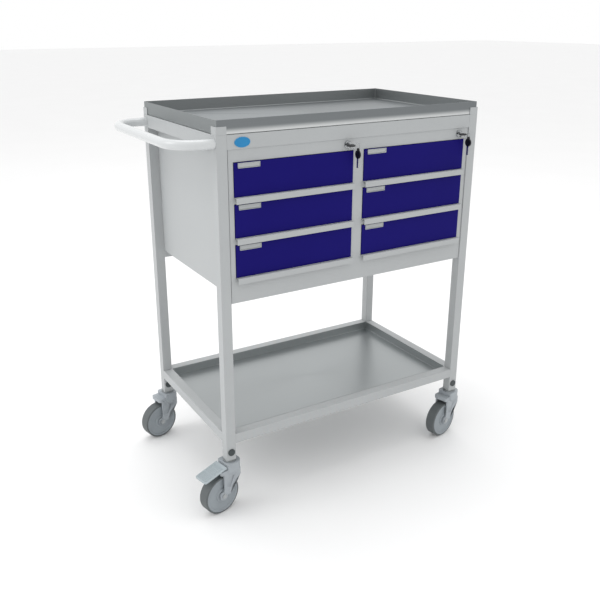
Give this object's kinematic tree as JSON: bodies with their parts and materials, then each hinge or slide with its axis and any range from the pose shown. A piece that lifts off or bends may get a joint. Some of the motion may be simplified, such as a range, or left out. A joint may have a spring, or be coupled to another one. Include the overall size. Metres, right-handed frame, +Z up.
{
  "type": "crash cart",
  "caption": "Hospital crash cart with a stainless top tray, lockable blue drawers, a lower shelf tray, a side push handle and swivel castors.",
  "frame": {"origin": "on the floor, under the middle of the cart's overall box", "axes": "+Z up; -Y towards the drawer fronts; -X towards the push handle"},
  "size_m": [0.8504, 0.4778, 0.96],
  "materials": {
    "frame_powder_coat": "satin",
    "drawer_blue": "satin",
    "stainless_tray": "satin",
    "handle_white": "gloss",
    "badge_blue": "gloss",
    "label_grey": "matte",
    "black_plastic": "matte",
    "zinc_steel": "satin",
    "lock_chrome": "polished",
    "castor_grey": "satin",
    "wheel_grey": "matte",
    "pedal_grey": "satin"
  },
  "bodies": {
    "cart": {"post_front_left": "frame_powder_coat", "post_front_right": "frame_powder_coat", "post_rear_left": "frame_powder_coat", "post_rear_right": "frame_powder_coat", "tray_ears": "frame_powder_coat", "frame_rails": "frame_powder_coat", "cabinet_side_left": "frame_powder_coat", "cabinet_side_right": "frame_powder_coat", "cabinet_back": "frame_powder_coat", "cabinet_base": "frame_powder_coat", "cabinet_divider": "frame_powder_coat", "cabinet_face_frame": "frame_powder_coat", "top_tray": "stainless_tray", "shelf_tray": "stainless_tray", "push_handle": "handle_white", "badge_plate": "badge_blue", "castor_fixings": "black_plastic", "cabinet_runners": "zinc_steel", "lock_barrels": "lock_chrome", "castor_stems": "zinc_steel"},
    "drawer_top_left": {"drawer_box_top_left": "frame_powder_coat", "drawer_front_top_left": "drawer_blue", "label_holder_top_left": "label_grey"},
    "drawer_top_right": {"drawer_box_top_right": "frame_powder_coat", "drawer_front_top_right": "drawer_blue", "label_holder_top_right": "label_grey"},
    "drawer_middle_left": {"drawer_box_middle_left": "frame_powder_coat", "drawer_front_middle_left": "drawer_blue", "label_holder_middle_left": "label_grey"},
    "drawer_middle_right": {"drawer_box_middle_right": "frame_powder_coat", "drawer_front_middle_right": "drawer_blue", "label_holder_middle_right": "label_grey"},
    "drawer_bottom_left": {"drawer_box_bottom_left": "frame_powder_coat", "drawer_front_bottom_left": "drawer_blue", "label_holder_bottom_left": "label_grey"},
    "drawer_bottom_right": {"drawer_box_bottom_right": "frame_powder_coat", "drawer_front_bottom_right": "drawer_blue", "label_holder_bottom_right": "label_grey"},
    "castor_front_left": {"castor_fork_front_left": "castor_grey", "castor_axle_front_left": "zinc_steel"},
    "wheel_front_left": {"castor_wheel_front_left": "wheel_grey"},
    "pedal_front_left": {"brake_pedal_front_left": "pedal_grey"},
    "castor_front_right": {"castor_fork_front_right": "castor_grey", "castor_axle_front_right": "zinc_steel"},
    "wheel_front_right": {"castor_wheel_front_right": "wheel_grey"},
    "castor_rear_left": {"castor_fork_rear_left": "castor_grey", "castor_axle_rear_left": "zinc_steel"},
    "wheel_rear_left": {"castor_wheel_rear_left": "wheel_grey"},
    "castor_rear_right": {"castor_fork_rear_right": "castor_grey", "castor_axle_rear_right": "zinc_steel"},
    "wheel_rear_right": {"castor_wheel_rear_right": "wheel_grey"},
    "pedal_rear_right": {"brake_pedal_rear_right": "pedal_grey"},
    "lock_left": {"lock_plug_left": "lock_chrome", "key_left": "black_plastic", "key_ring_left": "lock_chrome"},
    "spare_left": {"spare_key_left": "black_plastic"},
    "lock_right": {"lock_plug_right": "lock_chrome", "key_right": "black_plastic", "key_ring_right": "lock_chrome"},
    "spare_right": {"spare_key_right": "black_plastic"}
  },
  "joints": [
    {"name": "slide_top_left", "type": "slide", "parent": "cart", "child": "drawer_top_left", "axis": [0, -1, 0], "range_m": [0, 0.29]},
    {"name": "slide_top_right", "type": "slide", "parent": "cart", "child": "drawer_top_right", "axis": [0, -1, 0], "range_m": [0, 0.29]},
    {"name": "slide_middle_left", "type": "slide", "parent": "cart", "child": "drawer_middle_left", "axis": [0, -1, 0], "range_m": [0, 0.29]},
    {"name": "slide_middle_right", "type": "slide", "parent": "cart", "child": "drawer_middle_right", "axis": [0, -1, 0], "range_m": [0, 0.29]},
    {"name": "slide_bottom_left", "type": "slide", "parent": "cart", "child": "drawer_bottom_left", "axis": [0, -1, 0], "range_m": [0, 0.29]},
    {"name": "slide_bottom_right", "type": "slide", "parent": "cart", "child": "drawer_bottom_right", "axis": [0, -1, 0], "range_m": [0, 0.29]},
    {"name": "swivel_front_left", "type": "hinge", "parent": "cart", "child": "castor_front_left", "pos_m": [-0.31275, -0.20052, 0.119], "axis": [0, 0, 1], "continuous": true},
    {"name": "spin_front_left", "type": "hinge", "parent": "castor_front_left", "child": "wheel_front_left", "pos_m": [-0.34698, -0.2078, 0.05], "axis": [-0.2079, 0.9781, 0], "continuous": true},
    {"name": "brake_front_left", "type": "hinge", "parent": "castor_front_left", "child": "pedal_front_left", "pos_m": [-0.34601, -0.20759, 0.114], "axis": [-0.2079, 0.9781, 0], "range_deg": [0, 12]},
    {"name": "swivel_front_right", "type": "hinge", "parent": "cart", "child": "castor_front_right", "pos_m": [0.40225, -0.20052, 0.119], "axis": [0, 0, 1], "continuous": true},
    {"name": "spin_front_right", "type": "hinge", "parent": "castor_front_right", "child": "wheel_front_right", "pos_m": [0.36801, -0.2078, 0.05], "axis": [-0.2079, 0.9781, 0], "continuous": true},
    {"name": "swivel_rear_left", "type": "hinge", "parent": "cart", "child": "castor_rear_left", "pos_m": [-0.31275, 0.21448, 0.119], "axis": [0, 0, 1], "continuous": true},
    {"name": "spin_rear_left", "type": "hinge", "parent": "castor_rear_left", "child": "wheel_rear_left", "pos_m": [-0.34698, 0.2072, 0.05], "axis": [-0.2079, 0.9781, 0], "continuous": true},
    {"name": "swivel_rear_right", "type": "hinge", "parent": "cart", "child": "castor_rear_right", "pos_m": [0.40225, 0.21448, 0.119], "axis": [0, 0, 1], "continuous": true},
    {"name": "spin_rear_right", "type": "hinge", "parent": "castor_rear_right", "child": "wheel_rear_right", "pos_m": [0.36801, 0.2072, 0.05], "axis": [-0.2079, 0.9781, 0], "continuous": true},
    {"name": "brake_rear_right", "type": "hinge", "parent": "castor_rear_right", "child": "pedal_rear_right", "pos_m": [0.36899, 0.20741, 0.114], "axis": [-0.2079, 0.9781, 0], "range_deg": [0, 12]},
    {"name": "lock_turn_left", "type": "hinge", "parent": "cart", "child": "lock_left", "pos_m": [0.01225, -0.21302, 0.882], "axis": [0, -1, 0], "range_deg": [0, 90]},
    {"name": "spare_swing_left", "type": "hinge", "parent": "lock_left", "child": "spare_left", "pos_m": [0.03125, -0.22752, 0.8707], "axis": [-1, 0, 0], "range_deg": [-12, 60]},
    {"name": "lock_turn_right", "type": "hinge", "parent": "cart", "child": "lock_right", "pos_m": [0.35775, -0.21302, 0.882], "axis": [0, -1, 0], "range_deg": [0, 90]},
    {"name": "spare_swing_right", "type": "hinge", "parent": "lock_right", "child": "spare_right", "pos_m": [0.37675, -0.22752, 0.8707], "axis": [-1, 0, 0], "range_deg": [-12, 60]}
  ]
}
